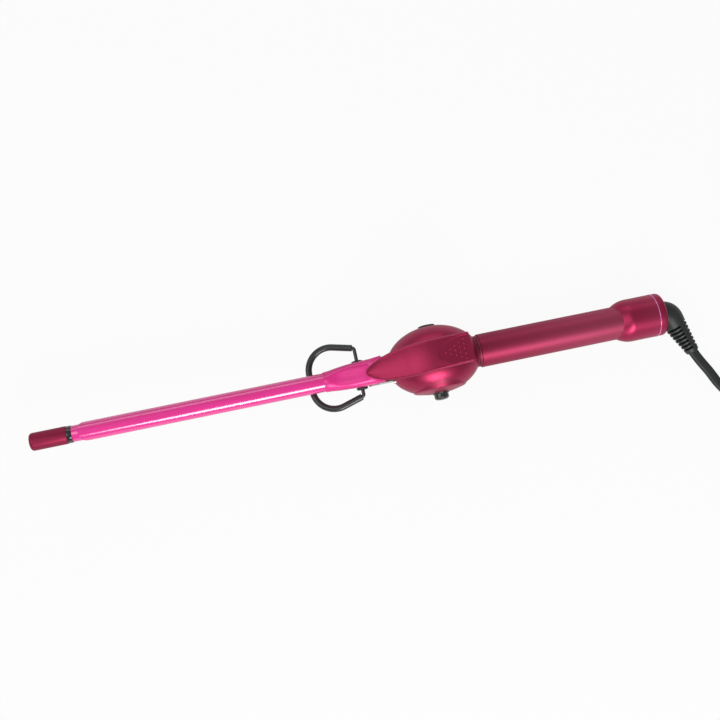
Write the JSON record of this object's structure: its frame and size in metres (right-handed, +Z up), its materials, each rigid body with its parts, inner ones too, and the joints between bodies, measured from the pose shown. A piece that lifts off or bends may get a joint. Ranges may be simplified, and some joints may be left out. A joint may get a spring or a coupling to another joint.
{
  "type": "curling iron",
  "caption": "Slim curling iron with a spring clip and thumb lever, round control pod, fold-out wire stand and a swivel mains cord in a tied hank.",
  "frame": {"origin": "on the resting surface, midway along and across the iron without its cord", "axes": "+X from the tip towards the handle end, +Y towards the temperature dial, +Z up on the clip side"},
  "size_m": [0.5552, 0.0851, 0.0469],
  "materials": {
    "satin_burgundy": "satin metallic burgundy paint on moulded plastic",
    "pink_barrel": "glossy metallic hot-pink coating on aluminium and steel",
    "pink_trim": "glossy bright pink trim",
    "gloss_black": "polished black plastic",
    "black_plastic": "fine satin black plastic",
    "bright_steel": "nickel-plated pressed steel",
    "stand_steel": "dark zinc-plated spring wire",
    "black_sleeve": "glossy black silicone sleeve",
    "ceramic": "unglazed white ceramic",
    "mica": "wound mica sheet",
    "lead_wire": "white glass-fibre sleeving",
    "sensor_glass": "glass-beaded thermistor",
    "heat_board": "brown heat-resistant moulding",
    "switch_plastic": "dark electrical plastic",
    "board_green": "green glass-fibre circuit board",
    "wire_sheath": "brown wire insulation",
    "contact_brass": "plain brass",
    "black_rubber": "satin black flexible PVC",
    "plug_nickel": "nickel-plated brass"
  },
  "bodies": {
    "root": {"tip_cap": "satin_burgundy", "tip_spacer": "gloss_black", "barrel_tube": "pink_barrel", "heater_core": "ceramic", "heater_sleeve": "mica", "heater_leads": "lead_wire", "heat_sensor": "sensor_glass", "barrel_holder": "heat_board", "hinge_bracket": "bright_steel", "pivot_bushings": "gloss_black", "clip_spring": "bright_steel", "pod_top": "satin_burgundy", "pod_bottom": "satin_burgundy", "pod_screws": "bright_steel", "side_cover": "satin_burgundy", "button_collar": "gloss_black", "power_switch": "switch_plastic", "potentiometer": "switch_plastic", "circuit_board": "board_green", "board_parts": "switch_plastic", "mains_wires": "wire_sheath", "front_collar": "satin_burgundy", "handle_tube": "satin_burgundy", "handle_core": "black_plastic", "end_cap": "satin_burgundy", "seam_ring": "pink_trim", "end_collar": "satin_burgundy", "contact_carrier": "heat_board", "contact_rings": "contact_brass"},
    "clip": {"clip_spoon": "pink_barrel", "clip_base": "pink_barrel", "thumb_lever": "satin_burgundy", "lever_rivets": "bright_steel"},
    "stand": {"stand_wire": "stand_steel", "stand_sleeve": "black_sleeve"},
    "dial": {"temperature_dial": "black_plastic"},
    "button": {"power_button": "gloss_black"},
    "swivel": {"strain_relief": "black_rubber", "contact_pins": "contact_brass", "cord_lead": "black_rubber", "cord_hank": "black_rubber", "cord_tail": "black_rubber", "hank_tie": "black_rubber", "plug_relief": "black_rubber", "plug_body": "black_rubber", "plug_pins": "plug_nickel"}
  },
  "joints": [
    {"name": "clip_hinge", "type": "hinge", "parent": "root", "child": "clip", "pos_m": [0.00315, 0.00135, 0.02027], "axis": [0, 1, 0], "range_deg": [0, 7], "stiffness_Nm_per_rad": 0.5, "springref_deg": -17.19, "deforming": ["clip_spring"]},
    {"name": "stand_fold", "type": "hinge", "parent": "root", "child": "stand", "pos_m": [0.00315, 0.00135, 0.02027], "axis": [0, -1, 0], "range_deg": [0, 100]},
    {"name": "dial_turn", "type": "hinge", "parent": "root", "child": "dial", "pos_m": [0.04561, 0.00135, 0.0183], "axis": [0, 1, 0], "range_deg": [0, 270]},
    {"name": "button_press", "type": "slide", "parent": "root", "child": "button", "axis": [0, 1, 0], "range_m": [0, 0.0012], "stiffness_N_per_m": 800, "springref_m": -0.001},
    {"name": "cord_swivel", "type": "hinge", "parent": "root", "child": "swivel", "pos_m": [0.17966, 0.00135, 0.01207], "axis": [0.9989, 0, -0.0464], "continuous": true}
  ]
}
